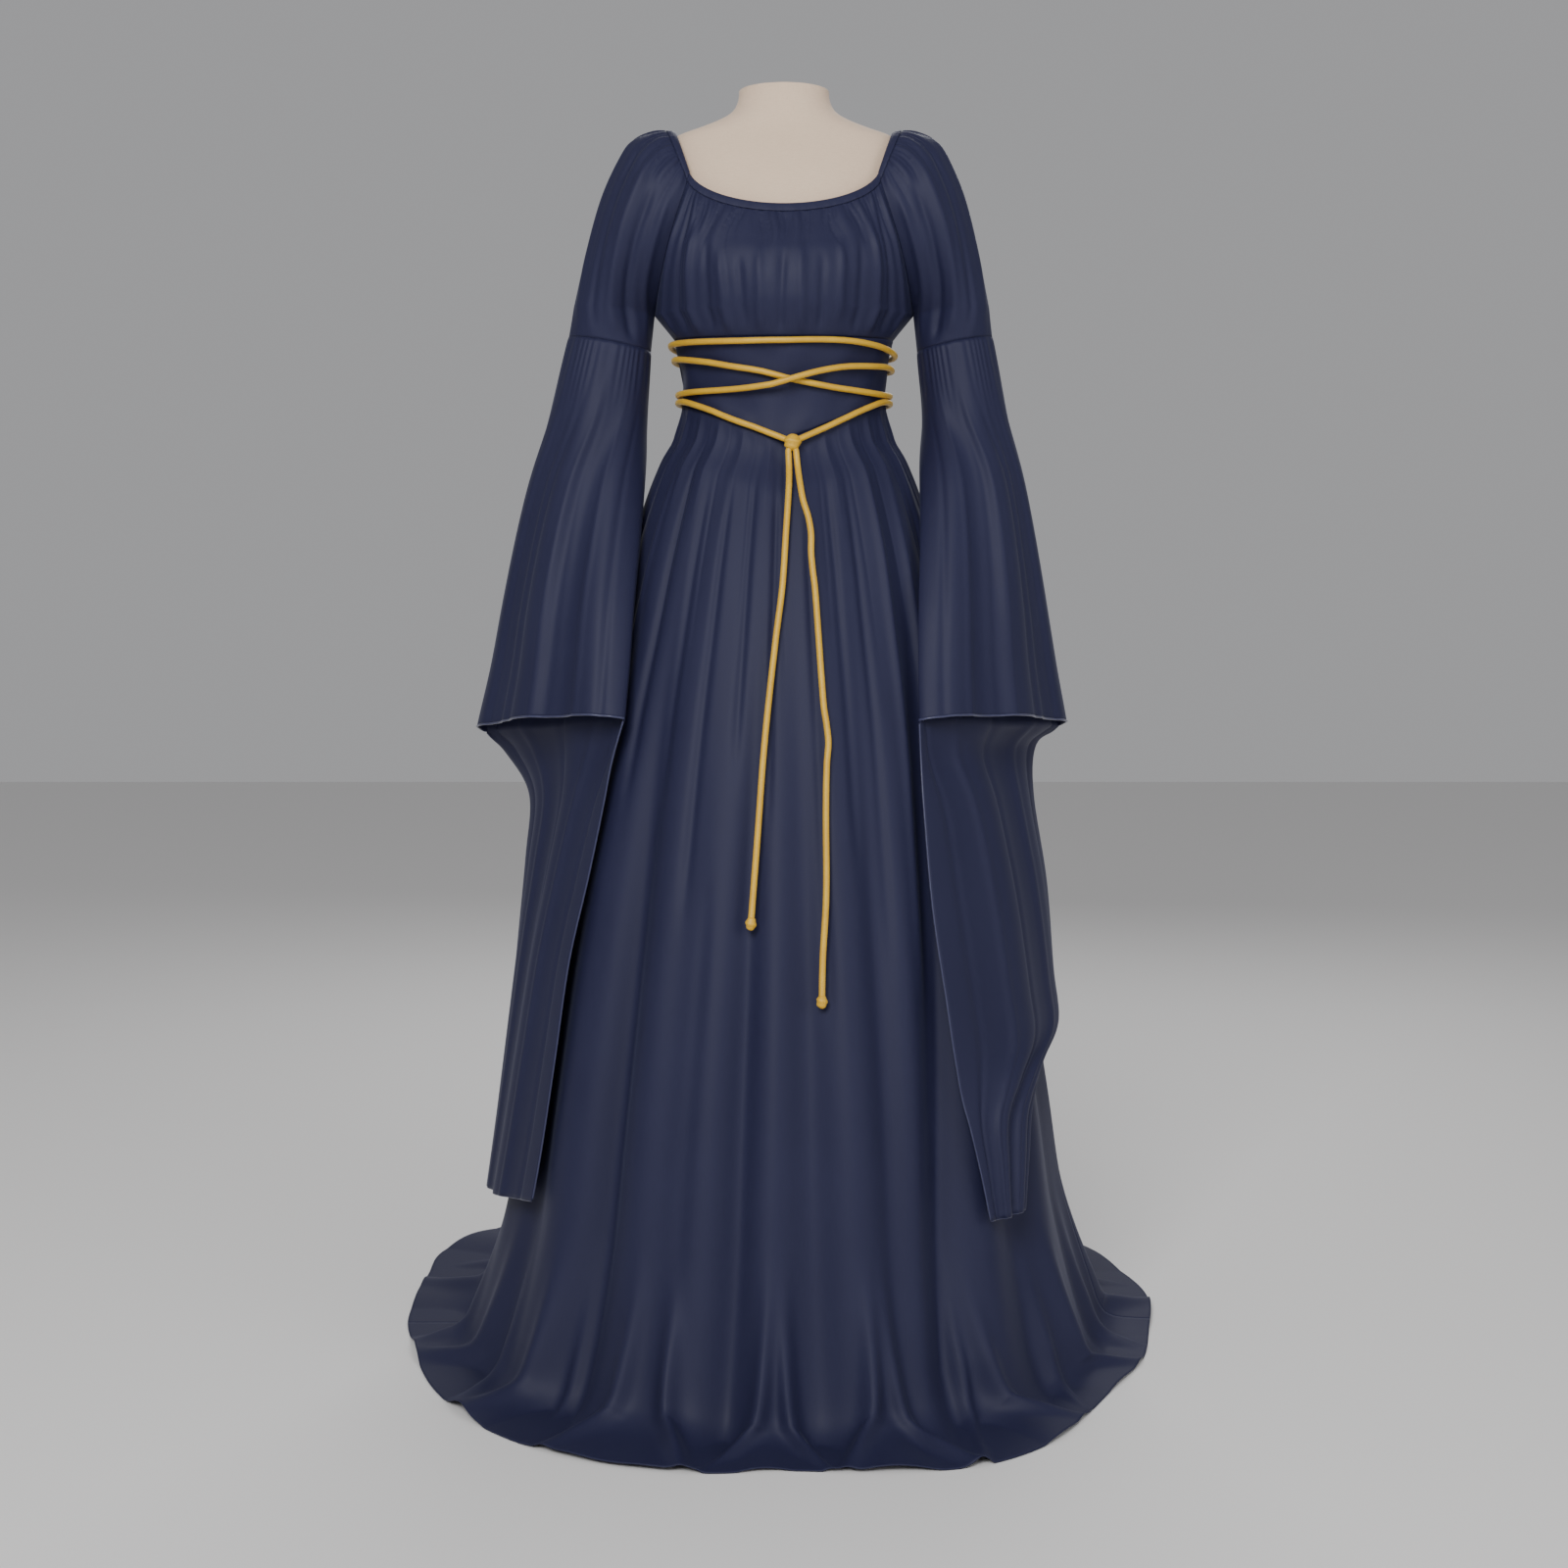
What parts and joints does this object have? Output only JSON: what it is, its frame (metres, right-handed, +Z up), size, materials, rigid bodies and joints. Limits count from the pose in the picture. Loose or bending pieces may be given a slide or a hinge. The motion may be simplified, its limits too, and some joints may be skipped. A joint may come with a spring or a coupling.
{
  "type": "medieval gown on a dress form",
  "caption": "Floor-length medieval gown with a gathered scoop neck, bell sleeves with long tails and a wound cord belt, on a limbless dress form with a stand.",
  "frame": {"origin": "centre of the stand's foot, on the floor", "axes": "+Z up, the front faces -Y, the wearer's left is +X"},
  "size_m": [0.9781, 1.0799, 1.5485],
  "materials": {
    "navy_cloth": "soft satin",
    "gold_cord": "twisted cord",
    "linen": "matte linen",
    "black_metal": "satin black"
  },
  "bodies": {
    "root": {"neck_casing": "navy_cloth", "bodice_front": "navy_cloth", "bodice_back": "navy_cloth", "sleeve_upper_right": "navy_cloth", "sleeve_upper_left": "navy_cloth", "sleeve_lower_right": "navy_cloth", "sleeve_lower_left": "navy_cloth", "waist_panel_front": "navy_cloth", "waist_panel_back": "navy_cloth", "skirt_front": "navy_cloth", "skirt_back": "navy_cloth", "waist_cord": "gold_cord", "waist_knot": "gold_cord", "cord_tail_right": "gold_cord", "cord_tail_left": "gold_cord", "tail_knot_right": "gold_cord", "tail_knot_left": "gold_cord", "dress_form": "linen", "stand_pole": "black_metal", "stand_foot": "black_metal"}
  },
  "joints": []
}
